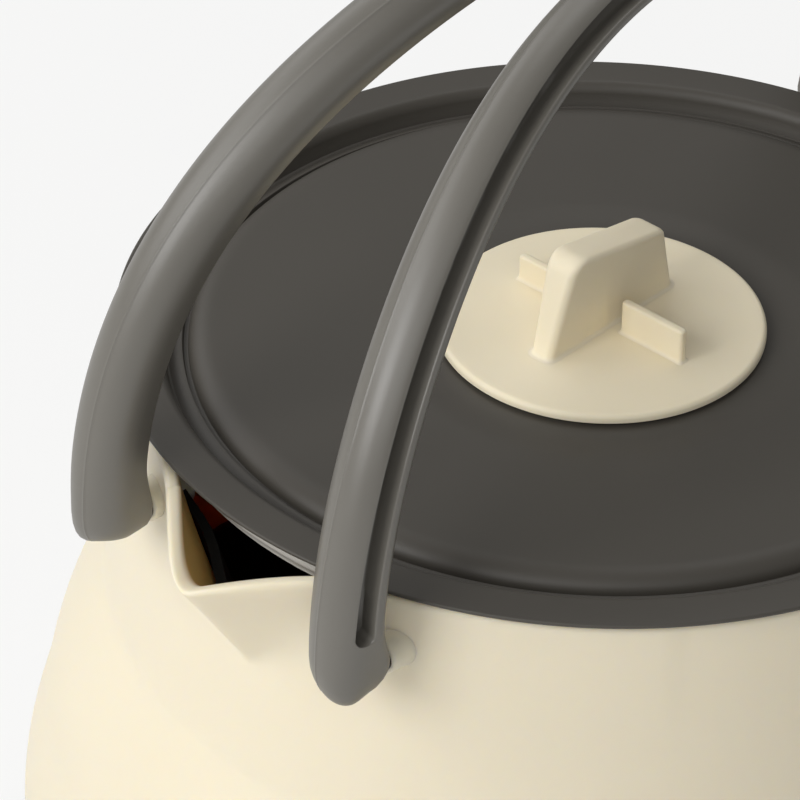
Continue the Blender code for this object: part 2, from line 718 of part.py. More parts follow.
def make_tab(side):
    """A low upright tab beside the fin."""
    root = INSERT_TOP - INSERT_THICKNESS / 2.0

    def corner(end, face, level):
        x = TAB_END if end > 0.0 else TAB_START
        return side * x, face * TAB_THICKNESS / 2.0, INSERT_TOP + TAB_HEIGHT if level > 0.0 else root

    shape = tapered_block(corner)
    bmesh.ops.bevel(shape, geom=list(shape.edges), offset=TAB_ROUND, segments=1, affect="EDGES")
    return shape


def make_lid_insert(silicone, parent):
    """Silicone insert: a disc, a stem through the lid, a button below, and the knob on top."""
    under = DISH_TOP + CLEARANCE
    button_top = DISC_UNDERSIDE - CLEARANCE
    button_foot = button_top - BUTTON_THICKNESS
    profile = [(0.0, INSERT_TOP)]
    profile += arc(INSERT_RADIUS - INSERT_ROUND, INSERT_TOP - INSERT_ROUND, INSERT_ROUND, 90, 0, 3)
    profile += [(INSERT_RADIUS, under), (STEM_RADIUS, under), (STEM_RADIUS, button_top),
                (BUTTON_RADIUS, button_top), (BUTTON_RADIUS, button_foot), (0.0, button_foot)]
    insert = turned("lid_insert", profile, INSERT_SEGMENTS, silicone, False, LID_TOP, parent)
    for name, shape in (("fin", make_fin()), ("tab_right", make_tab(1.0)), ("tab_left", make_tab(-1.0))):
        mesh = mesh_from(shape, name)
        mesh.transform(Matrix.Rotation(KNOB_TURN, 4, "Z"))
        boolean(insert, name, mesh, "UNION")
    return insert


def main():
    """Make every piece, the fixed ones first."""
    silicone = finish("cream_silicone", (0.83, 0.78, 0.66), 0.55)
    lid_plastic = finish("charcoal_plastic", (0.068, 0.064, 0.058), 0.5)
    bail_plastic = finish("grey_plastic", (0.13, 0.125, 0.115), 0.5)
    ring_plastic = finish("ring_plastic", (0.01, 0.01, 0.01), 0.5)
    soft_ring = finish("seal_silicone", (0.35, 0.34, 0.32), 0.6)
    insert_silicone = finish("insert_silicone", (0.78, 0.71, 0.54), 0.55)
    metal = finish("anodised_aluminium", (0.12, 0.12, 0.125), 0.45, 0.9)
    steel = finish("stainless_steel", (0.6, 0.6, 0.6), 0.3, 1.0)

    collapse = joint_empty("collapse_slide", (0.0, 0.0, NECK_FOOT))
    lift = joint_empty("lid_lift", (0.0, 0.0, LID_TOP), collapse)
    make_base_pan(metal)
    make_base_band(steel)
    make_lower_wall(silicone)
    make_shoulder_wall(silicone)
    make_neck_wall(silicone, collapse)
    make_rim_ring(ring_plastic, collapse)
    make_pins(steel, collapse)
    for name, side in (("bail_right", 1.0), ("bail_left", -1.0)):
        hinge = joint_empty(name + "_hinge", (side * PIVOT_X, 0.0, PIVOT_Z), collapse)
        make_bail(bail_plastic, name, hinge, side)
    make_lid_shell(lid_plastic, lift)
    make_lid_seal(soft_ring, lift)
    make_lid_insert(insert_silicone, lift)


main()
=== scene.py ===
"""Looks of the collapsible kettle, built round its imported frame. Sizes are in millimetres."""
import logging
import math
from collections.abc import Sequence
from dataclasses import dataclass
from enum import Enum

import bpy
from mathutils import Matrix, Vector


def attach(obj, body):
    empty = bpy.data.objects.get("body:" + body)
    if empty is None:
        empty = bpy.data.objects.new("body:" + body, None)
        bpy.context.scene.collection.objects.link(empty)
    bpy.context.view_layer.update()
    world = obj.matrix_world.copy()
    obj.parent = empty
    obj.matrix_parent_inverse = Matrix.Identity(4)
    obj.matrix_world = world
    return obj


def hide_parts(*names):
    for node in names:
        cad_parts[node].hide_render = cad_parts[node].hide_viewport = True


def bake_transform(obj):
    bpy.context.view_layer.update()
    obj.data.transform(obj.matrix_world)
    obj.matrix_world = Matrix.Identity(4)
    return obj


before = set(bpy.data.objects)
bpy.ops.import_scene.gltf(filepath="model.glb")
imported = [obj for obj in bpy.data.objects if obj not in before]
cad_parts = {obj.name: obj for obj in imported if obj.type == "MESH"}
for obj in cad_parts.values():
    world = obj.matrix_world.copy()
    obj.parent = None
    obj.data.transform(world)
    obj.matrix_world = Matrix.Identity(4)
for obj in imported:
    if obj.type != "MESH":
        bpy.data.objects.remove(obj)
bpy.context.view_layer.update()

MM = 0.001
MERGE_DISTANCE = 0.002 * MM
Point = tuple[float, float]
Triple = tuple[float, float, float]
Piece = bpy.types.Object
Tree = bpy.types.NodeTree
Node = bpy.types.Node
Socket = bpy.types.NodeSocket
log = logging.getLogger("kettle")


class Body(Enum):
    """The frame's moving bodies that pieces ride on."""

    BASE = "base"
    UPPER = "upper"
    LID = "lid"
    RIGHT_BAIL = "right_bail"
    LEFT_BAIL = "left_bail"


class Side(Enum):
    """Right or left of the spout, as the sign of X."""

    RIGHT = 1.0
    LEFT = -1.0


class End(Enum):
    """Spout end or back end of the kettle, as the sign of Y."""

    FRONT = -1.0
    BACK = 1.0


# Modelling steps that the pieces share


def clear_selection() -> None:
    """Leave edit mode and deselect everything, the frame's nodes among it."""
    if bpy.context.object is not None and bpy.context.object.mode != "OBJECT":
        bpy.ops.object.mode_set(mode="OBJECT")
    bpy.ops.object.select_all(action="DESELECT")


def close_mesh(piece: Piece, crease: float) -> None:
    """Merge doubles, turn the faces outwards and smooth all but the sharp edges.

    Args:
        piece: the piece, in edit or object mode.
        crease: angle in degrees above which an edge stays sharp.
    """
    if piece.mode != "EDIT":
        clear_selection()
        piece.select_set(True)
        bpy.context.view_layer.objects.active = piece
        bpy.ops.object.mode_set(mode="EDIT")
    bpy.ops.mesh.select_all(action="SELECT")
    bpy.ops.mesh.remove_doubles(threshold=MERGE_DISTANCE)
    bpy.ops.mesh.normals_make_consistent(inside=False)
    bpy.ops.object.mode_set(mode="OBJECT")
    bpy.ops.object.shade_smooth_by_angle(angle=math.radians(crease))


def turn_profile(name: str, points: Sequence[Point], steps: int, crease: float = 40.0,
                 centre: Vector = Vector(), axis: Vector = Vector((0.0, 0.0, 1.0))) -> Piece:
    """Draw a profile by extruding one vertex from point to point, and spin it round an axis.

    Args:
        name: name of the new piece.
        points: radius and height of the profile's places. The radii are drawn along X.
        steps: how many steps the spin takes.
        crease: angle in degrees above which an edge stays sharp.
        centre: a point on the axis, in metres, which the profile is drawn from.
        axis: direction of the axis and of the profile's heights.

    Returns:
        The closed piece.
    """
    clear_selection()
    bpy.ops.mesh.primitive_plane_add(size=MM)
    piece = bpy.context.object
    piece.name = piece.data.name = name
    bpy.ops.object.mode_set(mode="EDIT")
    bpy.ops.mesh.select_all(action="SELECT")
    bpy.ops.mesh.merge(type="CENTER")
    places = [Vector((radius, 0.0, 0.0)) * MM + axis * height * MM for radius, height in points]
    bpy.ops.transform.translate(value=places[0])
    for last, place in zip(places, places[1:]):
        bpy.ops.mesh.extrude_vertices_move(TRANSFORM_OT_translate={"value": place - last})
    bpy.ops.mesh.select_all(action="SELECT")
    bpy.ops.transform.translate(value=centre)
    bpy.ops.mesh.spin(steps=steps, angle=math.tau, center=centre, axis=axis)
    close_mesh(piece, crease)
    return piece


def wrap_rings(name: str, rings: Sequence[Sequence[Vector]], crease: float) -> Piece:
    """Move a grid's vertices onto rings of places and merge it where its sides meet.

    Args:
        name: name of the new piece.
        rings: places in millimetres, ring by ring, all of one length.
        crease: angle in degrees above which an edge stays sharp.

    Returns:
        The closed piece.
    """
    clear_selection()
    rows, columns = len(rings) - 1, len(rings[0]) - 1
    bpy.ops.mesh.primitive_grid_add(x_subdivisions=columns, y_subdivisions=rows, size=1.0)
    piece = bpy.context.object
    piece.name = piece.data.name = name
    for vertex in piece.data.vertices:
        column = round((vertex.co.x + 0.5) * columns)
        row = round((vertex.co.y + 0.5) * rows)
        vertex.co = rings[row][column] * MM
    close_mesh(piece, crease)
    return piece


def join_pieces(name: str, pieces: Sequence[Piece]) -> Piece:
    """Join several closed pieces into the first one, and name it."""
    clear_selection()
    for piece in pieces:
        piece.select_set(True)
    bpy.context.view_layer.objects.active = pieces[0]
    bpy.ops.object.join()
    pieces[0].name = pieces[0].data.name = name
    return pieces[0]


def arc(centre: Point, radius: float, start: float, end: float, steps: int) -> list[Point]:
    """Points on part of a circle, from its first angle in degrees to its last."""
    angles = [math.radians(start + (end - start) * i / steps) for i in range(steps + 1)]
    return [(centre[0] + radius * math.cos(a), centre[1] + radius * math.sin(a)) for a in angles]


def limit(share: float) -> float:
    """A share held between 0 and 1."""
    return min(1.0, max(0.0, share))


def ease(share: float) -> float:
    """A share from 0 to 1 that starts and ends gently."""
    share = limit(share)
    return share * share * (3.0 - 2.0 * share)


def between(ends: Point, share: float) -> float:
    """A value some share of the way between two."""
    return ends[0] + (ends[1] - ends[0]) * share


def corner_draw(depth: float, radius: float) -> float:
    """How far a rounded edge draws in at a depth below its top."""
    rest = max(0.0, radius - max(0.0, depth))
    return radius - math.sqrt(max(0.0, radius * radius - rest * rest))


# Finishes


def feed(node: Node, *first: object, **named: object) -> Node:
    """Give a shader node's inputs their values, or the sockets that feed them.

    Args:
        node: the node.
        first: values or sockets for its first inputs, in order.
        named: values or sockets for inputs by name, with _ for a space.

    Returns:
        The node.
    """
    pairs = list(zip(node.inputs, first))
    pairs += [(node.inputs[name.replace("_", " ")], value) for name, value in named.items()]
    for socket, value in pairs:
        if isinstance(value, Socket):
            node.id_data.links.new(value, socket)
        else:
            socket.default_value = value
    return node


def add_node(tree: Tree, kind: str, *first: object, **named: object) -> Node:
    """Add a shader node, of a type without ShaderNode before it, and feed its inputs."""
    return feed(tree.nodes.new(f"ShaderNode{kind}"), *first, **named)


@dataclass(frozen=True)
class Finish:
    """A surface finish, with a fine grain and a faint drift of its colour and gloss."""

    name: str
    slot: str
    colour: Triple
    roughness: float
    metallic: float = 0.0
    specular: float = 0.5
    drift: float = 0.05
    drift_scale: float = 22.0
    gloss_drift: float = 0.05
    grain_scale: float = 2400.0
    grain_height: float = 0.02
    grain_strength: float = 0.25
    stretch: Triple = (1.0, 1.0, 1.0)
    cloud_range: Point = (0.3, 0.7)

    def make(self) -> bpy.types.Material:
        """Build the node material, ready for a piece's slot."""
        material = bpy.data.materials.new(self.name)
        material.use_nodes = True
        tree = material.node_tree
        shader = feed(tree.nodes["Principled BSDF"], Metallic=self.metallic,
                      Specular_IOR_Level=self.specular)
        coordinates = add_node(tree, "TexCoord").outputs["Object"]
        vector = add_node(tree, "Mapping", Vector=coordinates, Scale=self.stretch).outputs[0]
        self._add_drift(tree, vector, shader)
        self._add_grain(tree, vector, shader)
        self._add_depth(shader)
        return material

    def _add_drift(self, tree: Tree, vector: Socket, shader: Node) -> None:
        """Let the colour and the roughness drift slowly over the piece."""
        cloud = add_node(tree, "TexNoise", Vector=vector, Scale=self.drift_scale, Detail=3.0)
        ramp = add_node(tree, "ValToRGB", Fac=cloud.outputs["Fac"])
        for stop, place, sign in zip(ramp.color_ramp.elements, self.cloud_range, (-1.0, 1.0)):
            stop.position = place
            stop.color = (*(min(1.0, c * (1.0 + sign * self.drift)) for c in self.colour), 1.0)
        gloss = add_node(tree, "MapRange", Value=cloud.outputs["Fac"],
                         From_Min=self.cloud_range[0], From_Max=self.cloud_range[1],
                         To_Min=self.roughness - self.gloss_drift,
                         To_Max=self.roughness + self.gloss_drift)
        feed(shader, Base_Color=ramp.outputs["Color"], Roughness=gloss.outputs["Result"])

    def _add_grain(self, tree: Tree, vector: Socket, shader: Node) -> None:
        """Add the moulded grain as a bump."""
        grain = add_node(tree, "TexNoise", Vector=vector, Scale=self.grain_scale, Detail=2.0)
        bump = add_node(tree, "Bump", Height=grain.outputs["Fac"], Strength=self.grain_strength,
                        Distance=self.grain_height * MM)
        feed(shader, Normal=bump.outputs["Normal"])

    def _add_depth(self, shader: Node) -> None:
        """A solid finish lets no light in."""


@dataclass(frozen=True)
class SiliconeFinish(Finish):
    """Matt silicone, which lets a little light into thin walls and edges."""

    depth: float = 0.2
    depth_colour: Triple = (1.0, 0.8, 0.42)
    depth_scale: float = 2.0

    def _add_depth(self, shader: Node) -> None:
        """Let light scatter a short way under the surface."""
        feed(shader, Subsurface_Weight=self.depth, Subsurface_Radius=self.depth_colour,
             Subsurface_Scale=self.depth_scale * MM)


@dataclass(frozen=True)
class WallWithPaintedShade(SiliconeFinish):
    """Silicone whose inner side, marked by an attribute, has painted shade and a painted amber
    glow of light let through the wall.
    """

    mark: str = "painted_inner_shade"
    # painted shade and painted glow of light through the wall: a darker amber than the cream, not
    # the silicone's own colour
    painted_shade_glow_colour: Triple = (0.6, 0.4, 0.12)

    def _add_drift(self, tree: Tree, vector: Socket, shader: Node) -> None:
        """Let the colour drift, and mix in the inner side's painted shade and amber glow where it
        is marked.
        """
        super()._add_drift(tree, vector, shader)
        drifting = shader.inputs["Base Color"].links[0].from_socket
        mark = add_node(tree, "Attribute")
        mark.attribute_name = self.mark
        # mixes the painted shade and glow into the marked inner side
        mix = add_node(tree, "MixRGB", Fac=mark.outputs["Fac"], Color1=drifting,
                       Color2=(*self.painted_shade_glow_colour, 1.0))
        feed(shader, Base_Color=mix.outputs["Color"])


def coat(piece: Piece, finish: Finish) -> None:
    """Make a finish the piece's only material."""
    piece.data.materials.clear()
    piece.data.materials.append(bpy.data.materials.get(finish.name) or finish.make())


def dress(piece: Piece, finish: Finish, body: Body, *nodes: str) -> None:
    """Give a piece its finish, let it ride on a body, and log it.

    Args:
        piece: the finished piece.
        finish: its finish.
        body: the body it moves with.
        nodes: names of the frame's nodes that it stands for.
    """
    coat(piece, finish)
    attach(piece, body.value)
    if nodes:
        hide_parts(*nodes)
    log.info("%s: %d faces, rides on %s", piece.name, len(piece.data.polygons), body.value)


# cream body silicone; its inner side gets painted shade and a painted amber glow
BODY_SILICONE = WallWithPaintedShade("cream_silicone", "body_silicone", (0.785, 0.705, 0.545), 0.5,
                           specular=0.4, drift=0.015, drift_scale=14.0, gloss_drift=0.04,
                           grain_scale=1500.0, grain_strength=0.2, depth=0.45, depth_scale=2.6)
KNOB_SILICONE = SiliconeFinish("insert_silicone", "knob_silicone", (0.875, 0.784, 0.585), 0.5,
                               specular=0.35, drift=0.02, drift_scale=60.0, gloss_drift=0.04,
                               grain_scale=1800.0, grain_strength=0.2, depth=0.15,
                               depth_scale=1.2)
SEAL_SILICONE = SiliconeFinish("seal_silicone", "seal_silicone", (0.36, 0.345, 0.32), 0.55,
                               specular=0.4, drift=0.03, grain_scale=1500.0, depth=0.1)
LID_PLASTIC = Finish("charcoal_plastic", "lid_plastic", (0.0635, 0.0572, 0.0475), 0.5,
                     specular=0.4, drift=0.04, drift_scale=30.0, gloss_drift=0.03,
                     grain_scale=2600.0, grain_height=0.03, grain_strength=0.3)
BAIL_PLASTIC = Finish("grey_plastic", "bail_plastic", (0.134, 0.125, 0.107), 0.4,
                      specular=0.7, drift=0.04, drift_scale=40.0, gloss_drift=0.04,
                      grain_scale=2200.0)
RING_PLASTIC = Finish("black_plastic", "ring_plastic", (0.01, 0.0095, 0.009), 0.5,
                      specular=0.3, drift=0.06, gloss_drift=0.04)
PAN_ALUMINIUM = Finish("hard_anodised_aluminium", "pan_aluminium", (0.16, 0.16, 0.165), 0.42,
                       metallic=0.85, drift=0.06, drift_scale=8.0, gloss_drift=0.06,
                       grain_scale=900.0, grain_strength=0.2, stretch=(0.08, 0.08, 3.0))
BAND_STEEL = Finish("brushed_steel_band", "band_steel", (0.62, 0.62, 0.61), 0.3,
                    metallic=1.0, drift=0.05, drift_scale=9.0, gloss_drift=0.06,
                    grain_scale=700.0, grain_height=0.01, stretch=(0.06, 0.06, 4.0))
PIN_STEEL = Finish("pin_steel", "pin_steel", (0.6, 0.6, 0.59), 0.28, metallic=1.0,
                   drift=0.04, grain_scale=1600.0, grain_height=0.005)


# The silicone body


@dataclass
class KettleBody:
    """The one moulding of the body: lower wall, folding shoulder, neck and spout."""

    wall: float = 1.8
    foot: float = 10.5
    bulge_top: float = 18.0
    lower_fold: float = 35.2
    upper_fold: float = 59.1
    rim: float = 96.5
    body_radius: float = 78.8
    lower_fold_radius: float = 75.5
    upper_fold_radius: float = 66.7
    rim_radius: float = 63.6
    shoulder_bulge: float = 1.4
    fold_softness: float = 1.1
    lip_round: float = 0.7
    spout_foot: float = 76.5
    spout_tip_radius: float = 79.85
    spout_half_width: float = 21.1
    spout_lip: float = 97.65
    spout_dip: float = 3.0
    spout_notch: float = 0.6
    spout_edge_round: float = 0.019
    spout_upright: Point = (95.2, 0.87)
    lid_clearance: float = 65.15
    spout_blend: float = 2.2
    spout_spread: float = math.radians(52.0)
    spout_thinning: float = 1.1
    steps: int = 300
    crowding: float = 0.72
    pan_side: float = 77.0
    pan_top: float = 21.3
    foot_draw: float = 0.4
    dip_powers: Point = (1.6, 12.0)
    lid_fade: float = 0.5
    mark_depth: float = 0.75
    mark_fade: float = 0.8
    crease: float = 60.0
    bend: Point = (35.5, 59.0)
    rows: tuple[tuple[float, float, int], ...] = (
        (10.9, 1.1, 2), (15.0, 3.0, 2), (18.0 + 13.0 / 7.0, 13.0 / 7.0, 7), (33.0, 0.45, 11),
        (39.0, 2.125, 9), (57.0, 0.45, 11), (63.0, 4.0, 3), (74.0, 1.6, 1), (75.6, 0.9, 23))

    def neck_outer(self, z: float) -> float:
        """Outer radius of the neck's cone at a height."""
        share = (z - self.upper_fold) / (self.rim - self.upper_fold)
        return between((self.upper_fold_radius, self.rim_radius), share)

    def wall_outer(self, z: float) -> float:
        """Outer radius of the plain round wall at a height, with sharp folds."""
        if z <= self.bulge_top:
            return self.body_radius
        if z <= self.lower_fold:
            share = (z - self.bulge_top) / (self.lower_fold - self.bulge_top)
            drawn = self.body_radius - self.lower_fold_radius
            return self.lower_fold_radius + drawn * math.cos(share * math.pi / 2.0)
        if z <= self.upper_fold:
            share = (z - self.lower_fold) / (self.upper_fold - self.lower_fold)
            bulge = self.shoulder_bulge * 4.0 * share * (1.0 - share)
            return between((self.lower_fold_radius, self.upper_fold_radius), share) + bulge
        return self.neck_outer(z)

    def soft_outer(self, z: float) -> float:
        """Outer radius of the plain round wall at a height, with its folds softened."""
        near = self.fold_softness
        if z > self.rim - 2.0 * near:
            return self.wall_outer(z)
        around = self.wall_outer(z - near) + self.wall_outer(z + near)
        return (around + 2.0 * self.wall_outer(z)) / 4.0

    def spout_reach(self, angle: float, z: float, inset: float) -> float:
        """Radius of the spout's two straight walls.

        Args:
            angle: angle from the spout's middle.
            z: height.
            inset: how far the surface lies inside the outer one.

        Returns:
            The radius, or zero where there is no spout.
        """
        level, soft = self.spout_upright
        z = (z + level - math.hypot(z - level, soft)) / 2.0
        share = (z - self.spout_foot) / (self.rim - self.spout_foot)
        if share <= 0.0 or abs(angle) > self.spout_spread:
            return 0.0
        half_width = self.spout_half_width * share
        root = math.sqrt(self.neck_outer(z) ** 2 - half_width ** 2)
        tip = between((self.neck_outer(self.spout_foot), self.spout_tip_radius), share)
        rounding = self.spout_edge_round * math.sqrt(share) * max(1.0, 2.0 - share)
        side = math.hypot(math.sin(angle), rounding)
        length = math.hypot(tip - root, half_width)
        slope = (tip - root) * side + half_width * math.cos(angle)
        return (half_width * tip - inset * length) / slope

    def neck_radius(self, angle: float, z: float, inset: float) -> float:
        """Radius of the neck's wall, or of a surface inset in it, with the spout blended in."""
        round_wall = self.neck_outer(z) - inset
        spout = self.spout_reach(angle, z, inset * self.spout_thinning)
        if spout <= 0.0:
            return round_wall
        share = (z - self.spout_foot) / (self.rim - self.spout_foot)
        blend = self.spout_blend * min(1.0, 3.0 * share)
        return (round_wall + spout + math.hypot(round_wall - spout, blend)) / 2.0

    def rim_top(self, angle: float) -> float:
        """Height of the rim, which rises beside the lid and dips to the spout's tip."""
        reach = self.neck_radius(0.0, self.rim, self.wall) - self.lid_clearance
        out = self.neck_radius(angle, self.rim, self.wall) - self.lid_clearance
        share = limit(out / reach)
        wide, narrow = (share ** power for power in self.dip_powers)
        lip = self.spout_lip - self.spout_dip * wide - self.spout_notch * narrow
        return between((self.rim, lip), ease(out / self.lid_fade))

    def profile(self) -> list[Point]:
        """Radii and heights of the wall, up its outside and down its inside, closed."""
        top = self.rim - self.lip_round
        heights = [low + step * i for low, step, count in self.rows for i in range(count)]
        heights = [z for z in heights if z < top - 0.2] + [top]
        outside = [(self.soft_outer(z), z) for z in heights]
        outer = self.neck_outer(self.rim)
        lip = arc((outer - self.lip_round, top), self.lip_round, 0.0, 90.0, 5)[1:]
        lip += arc((outer - self.wall + self.lip_round, top), self.lip_round, 90.0, 180.0, 5)
        inside = [(self.soft_outer(z) - self.wall, z) for z in reversed(heights[:-1])]
        inside = [(max(r, self.pan_side) if z < self.pan_top else r, z) for r, z in inside]
        foot = [(self.pan_side + self.foot_draw, self.foot),
                (self.body_radius - self.foot_draw, self.foot)]
        return outside + lip + inside + foot + outside[:1]

    def shape_spout(self, piece: Piece) -> None:
        """Crowd the spun steps at the front and move the neck out into the spout."""
        height = self.rim - self.upper_fold
        for vertex in piece.data.vertices:
            place = vertex.co / MM
            spun = math.atan2(place.x, -place.y)
            angle = spun - self.crowding * math.sin(spun)
            radius = math.hypot(place.x, place.y)
            z = place.z
            if z > self.upper_fold:
                share = (z - self.upper_fold) / height
                inset = self.neck_outer(z) - radius
                z = self.upper_fold + (self.rim_top(angle) - self.upper_fold) * share
                mix = limit(inset / self.wall)
                sides = self.neck_radius(angle, z, 0.0), self.neck_radius(angle, z, self.wall)
                softened = self.soft_outer(place.z) - self.neck_outer(place.z)
                radius = between(sides, mix) + softened * (z < self.spout_foot)
            vertex.co = Vector((radius * math.sin(angle), -radius * math.cos(angle), z)) * MM

    def mark_painted_inner_shade(self, piece: Piece) -> None:
        """Mark the vertices of the wall's inner side, below its rounded rim, where the painted
        shade and amber glow go.
        """
        # the mark sets where the painted shade and glow are mixed into the colour
        marks = piece.data.attributes.new(BODY_SILICONE.mark, "FLOAT", "POINT")
        deep = self.mark_depth * self.wall
        for vertex, mark in zip(piece.data.vertices, marks.data):
            place = vertex.co / MM
            angle = math.atan2(place.x, -place.y)
            radius = math.hypot(place.x, place.y)
            surface = self.soft_outer(place.z) - deep
            if place.z > self.upper_fold:
                surface = self.neck_radius(angle, place.z, deep)
            below = self.rim_top(angle) - self.lip_round - place.z
            mark.value = ease(below / self.mark_fade + 1.0) if radius < surface else 0.0

    def build(self) -> None:
        """Model the body, give it its finish and hide the frame's three wall nodes."""
        piece = turn_profile("silicone_body", self.profile(), self.steps, self.crease)
        self.shape_spout(piece)
        close_mesh(piece, self.crease)
        # marks the inner side for its painted shade and glow
        self.mark_painted_inner_shade(piece)
        coat(piece, BODY_SILICONE)
        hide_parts("lower_wall", "shoulder_wall", "neck_wall")
        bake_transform(piece)
        log.info("%s: %d faces, bends from base to upper", piece.name, len(piece.data.polygons))


@dataclass
class PivotBoss:
    """A round silicone boss on the neck, round the root of one of the stiff ring's lugs."""

    side: Side
    end: End
    pivot_x: float = 21.8
    pivot_z: float = 88.9
    radius: float = 2.6
    flare: float = 0.3
    middle_y: float = 65.1
    shift_y: float = 2.0
    root_y: float = 56.5
    flare_ends: Point = (62.2, 59.6)
    lug_radius: float = 2.05
    end_round: float = 0.4
    flare_rows: int = 6
    steps: int = 56

    def build(self) -> None:
        """Turn the boss round its axis and dress it."""
        end_y = self.middle_y + self.shift_y * self.end.value
        profile = [(self.lug_radius, self.root_y), (self.lug_radius, end_y)]
        profile += arc((self.radius - self.end_round, end_y - self.end_round), self.end_round,
                       90.0, 0.0, 4)
        for row in range(1, self.flare_rows + 1):
            share = row / self.flare_rows
            profile.append((self.radius + self.flare * share ** 2,
                            between(self.flare_ends, share)))
        profile += [(self.radius + self.flare, self.root_y), profile[0]]
        name = f"pivot_boss_{self.side.name.lower()}_{self.end.name.lower()}"
        centre = Vector((self.side.value * self.pivot_x, 0.0, self.pivot_z)) * MM
        axis = Vector((0.0, self.end.value, 0.0))
        piece = turn_profile(name, profile, self.steps, centre=centre, axis=axis)
        dress(piece, BODY_SILICONE, Body.UPPER)


# The bails


@dataclass
class Bail:
    """One grooved plastic bail, carried round a leaning arch from foot to foot."""

    side: Side
    pivot_x: float = 21.8
    pivot_z: float = 88.9
    arc_z: float = 92.6
    arc_y: float = 2.0
    reach: float = 72.2
    rise: float = 67.3
    lean: float = 3.8
    lean_height: float = 50.0
    lean_z: float = 84.2
    twist: float = math.radians(12.0)
    depth: float = 7.4
    depth_loss: float = 1.0
    width: float = 9.4
    width_loss: float = 0.4
    corner: float = 0.8
    nose_share: float = 0.67
    groove_width: float = 2.5
    groove_depth: float = 3.2
    groove_offset: float = 0.7
    groove_start: float = 9.2
    groove_edge: float = 0.25
    foot_drop: float = 1.39
    foot_slant: float = 1.21
    foot_rise: float = 0.73
    foot_curl: float = 0.65
    foot_square: float = 4.0
    foot_skew: float = 1.38
    foot_round: float = 5.5
    foot_reach: float = 9.0
    pad_place: float = 4.57
    pad_length: float = 4.0
    pad_height: float = 1.84
    pad_draw: float = 1.0
    seam_place: float = 0.2
    seam_height: float = 0.06
    seam_width: float = 0.14
    seam_steps: tuple[float, ...] = (-1.0, -0.4, 0.4, 1.0)
    cap_turns: tuple[float, ...] = (0, 4, 10, 18, 28, 40, 52, 64, 76, 90)
    foot_rows: tuple[float, ...] = (6.1, 6.8, 7.6, 8.4, 9.2)
    groove_turns: tuple[float, ...] = (12, 25, 38, 52, 66, 78, 90)
    lip_share: float = 0.4
    lip_slant: float = 0.3
    floor_share: float = 0.3
    steps: int = 140
    crease: float = 45.0

    def first_angle(self) -> float:
        """The angle round the arch at which the front foot ends."""
        return math.asin((self.pivot_z - self.foot_drop - self.arc_z) / self.rise)

    def groove_half(self, along: float) -> float:
        """Half width of the groove at a distance from the foot, with its round end."""
        half = self.groove_width / 2.0
        inside = min(half, max(0.0, along - self.groove_start))
        return math.sqrt(max(0.0, half * half - (half - inside) ** 2))

    def section(self, along: float, size: Point) -> list[Point]:
        """The section at a distance from the foot.

        Args:
            along: distance from the foot's end.
            size: its width and its depth there.

        Returns:
            Places (u, v), u towards the grooved face and v out from the arch.
        """
        half, edge = size[0] / 2.0, size[1] / 2.0
        nose = size[1] * self.nose_share
        crown = nose - self.seam_height
        root = edge - nose
        opening = self.groove_half(along)
        middle = -self.groove_offset
        lip = min(self.groove_edge, opening * self.lip_share)
        deep = min(1.0, opening / (self.groove_width * self.floor_share))
        floor = half - self.groove_depth * deep

        def side(v: float) -> float:
            """How far the section's side stands out at a height."""
            share = limit((v - root) / crown)
            return half * math.sqrt(1.0 - share * share)

        def on_crown(turn: float, lift: float = 0.0) -> Point:
            """A place on the section's round top."""
            return half * math.cos(turn), root + crown * math.sin(turn) + lift

        slant = lip * self.lip_slant
        points = arc((half - self.corner, -edge + self.corner), self.corner, -90.0, 0.0, 5)
        start, low = -edge + self.corner, middle - opening - lip
        points += [(side(start + (low - start) * i / 3), start + (low - start) * i / 3)
                   for i in (1, 2, 3)]
        for sign in (-1.0, 1.0):
            face = side(middle + sign * opening)
            wall = [(face - slant, middle + sign * (opening + slant)),
                    (face - lip, middle + sign * opening),
                    (min(face - lip, floor + lip), middle + sign * opening),
                    (min(face - lip, floor), middle + sign * max(0.0, opening - lip))]
            points += wall if sign < 0.0 else list(reversed(wall))
        high = middle + opening + lip
        bend = math.asin(limit((high - root) / crown))
        points.append((side(high), high))
        seam = math.acos(self.seam_place / half)
        spread = self.seam_width / half
        before, after = seam - 3.0 * spread, seam + 3.0 * spread
        points += [on_crown(bend + (before - bend) * i / 12) for i in range(1, 13)]
        points += [on_crown(seam + step * spread, self.seam_height * (abs(step) < 1.0))
                   for step in self.seam_steps]
        points += [on_crown(after + (math.pi - after) * i / 14) for i in range(15)]
        points += arc((-half + self.corner, -edge + self.corner), self.corner, 180.0, 270.0, 5)
        return points + points[:1]

    def frame_at(self, angle: float) -> tuple[Vector, Vector, Vector, Vector]:
        """Middle of the bail at an angle round its arch, with its three directions.

        Args:
            angle: angle round the arch, from the front foot up.

        Returns:
            The middle, the direction to the grooved face, the one outwards and the one along.
        """
        z = self.arc_z + self.rise * math.sin(angle)
        lean = max(0.0, z - self.lean_z) / self.lean_height
        slope = 3.0 * self.lean * lean ** 2 / self.lean_height
        climb = self.rise * math.cos(angle)
        tangent = Vector((-slope * climb, self.reach * math.sin(angle), climb)).normalized()
        radial = Vector((1.0, 0.0, slope)).cross(tangent).normalized()
        normal = tangent.cross(radial)
        turn = self.twist * (1.0 - math.sin(angle))
        face = normal * math.cos(turn) + radial * math.sin(turn)
        outward = radial * math.cos(turn) - normal * math.sin(turn)
        middle = Vector((self.pivot_x - self.lean * lean ** 3,
                         self.arc_y - self.reach * math.cos(angle), z))
        return middle, face, outward, tangent

